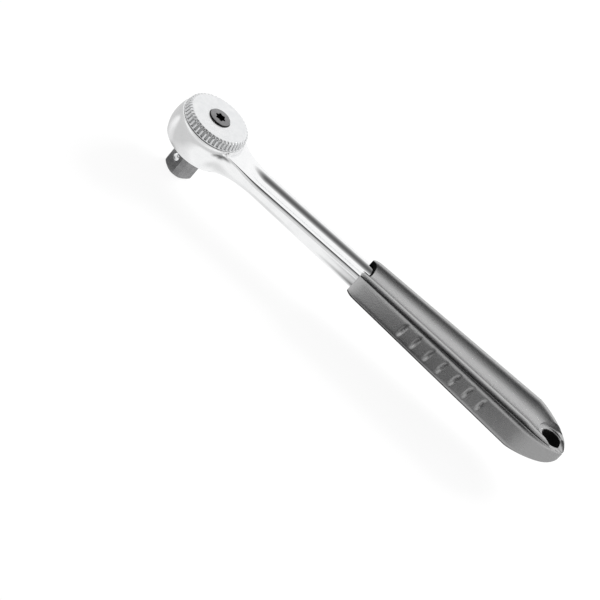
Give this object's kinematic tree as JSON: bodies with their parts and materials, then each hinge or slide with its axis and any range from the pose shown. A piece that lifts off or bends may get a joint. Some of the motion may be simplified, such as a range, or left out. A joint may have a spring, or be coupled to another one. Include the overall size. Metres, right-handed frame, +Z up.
{
  "type": "socket ratchet",
  "caption": "Reversible socket ratchet with a round head, knurled reversing dial, square drive with a spring ball, channelled chrome shank and a ribbed plastic grip.",
  "frame": {"origin": "Middle of the end face of the drive square, on the drive axis.", "axes": "+Z points up the drive axis from the square's end to the dial, +X runs along the handle to the hang hole, and -Y is the side that the picture shows."},
  "size_m": [0.2458, 0.0376, 0.0382],
  "materials": {
    "polished_chrome": "polished chrome plate",
    "satin_chrome": "satin chrome plate, bright knurl",
    "burnished_steel": "dark burnished",
    "black_steel": "black oxide",
    "bright_ball": "polished",
    "plain_steel": "ground, oiled",
    "spring_steel": "bright wire",
    "seal_rubber": "black nitrile",
    "grip_plastic": "fine-grained dark grey"
  },
  "bodies": {
    "handle": {"ratchet_body": "polished_chrome", "grip_sleeve": "grip_plastic", "cover_plate": "plain_steel", "retaining_ring": "spring_steel", "thrust_washer": "plain_steel"},
    "spindle": {"drive_spindle": "burnished_steel", "dial_screw": "black_steel", "spring_washer": "spring_steel", "spindle_seal": "seal_rubber", "pawl_pin_a": "plain_steel", "pawl_pin_b": "plain_steel", "ball_spring": "spring_steel"},
    "dial": {"reversing_dial": "satin_chrome", "plunger_spring_a": "spring_steel", "plunger_spring_b": "spring_steel"},
    "pawl_a": {"pawl_a": "plain_steel"},
    "pawl_b": {"pawl_b": "plain_steel"},
    "plunger_a": {"plunger_a": "plain_steel"},
    "plunger_b": {"plunger_b": "plain_steel"},
    "ball": {"drive_ball": "bright_ball"}
  },
  "joints": [
    {"name": "drive_turn", "type": "hinge", "parent": "handle", "child": "spindle", "pos_m": [0, 0, 0], "axis": [0, 0, 1], "continuous": true},
    {"name": "reverser", "type": "hinge", "parent": "spindle", "child": "dial", "pos_m": [0, 0, 0.0257], "axis": [0, 0, 1], "range_deg": [0, 30]},
    {"name": "pawl_a_rock", "type": "hinge", "parent": "spindle", "child": "pawl_a", "pos_m": [-0.00146, 0.01043, 0.0257], "axis": [0, 0, 1], "range_deg": [-15, 0]},
    {"name": "pawl_b_rock", "type": "hinge", "parent": "spindle", "child": "pawl_b", "pos_m": [0.00146, -0.01043, 0.0257], "axis": [0, 0, 1], "range_deg": [-15, 0]},
    {"name": "plunger_a_slide", "type": "slide", "parent": "dial", "child": "plunger_a", "axis": [-0.1219, -0.9925, 0], "range_m": [0, 0.0005], "stiffness_N_per_m": 1500, "deforming": ["plunger_spring_a"]},
    {"name": "plunger_b_slide", "type": "slide", "parent": "dial", "child": "plunger_b", "axis": [0.1219, 0.9925, 0], "range_m": [0, 0.0005], "stiffness_N_per_m": 1500, "deforming": ["plunger_spring_b"]},
    {"name": "ball_press", "type": "slide", "parent": "spindle", "child": "ball", "axis": [0.6018, 0.7986, 0], "range_m": [0, 0.00095], "stiffness_N_per_m": 6000, "deforming": ["ball_spring"]}
  ],
  "couplings": [
    {"joint": "pawl_a_rock", "follows": "reverser", "ratio": -0.5},
    {"joint": "pawl_b_rock", "follows": "reverser", "ratio": -0.5}
  ]
}
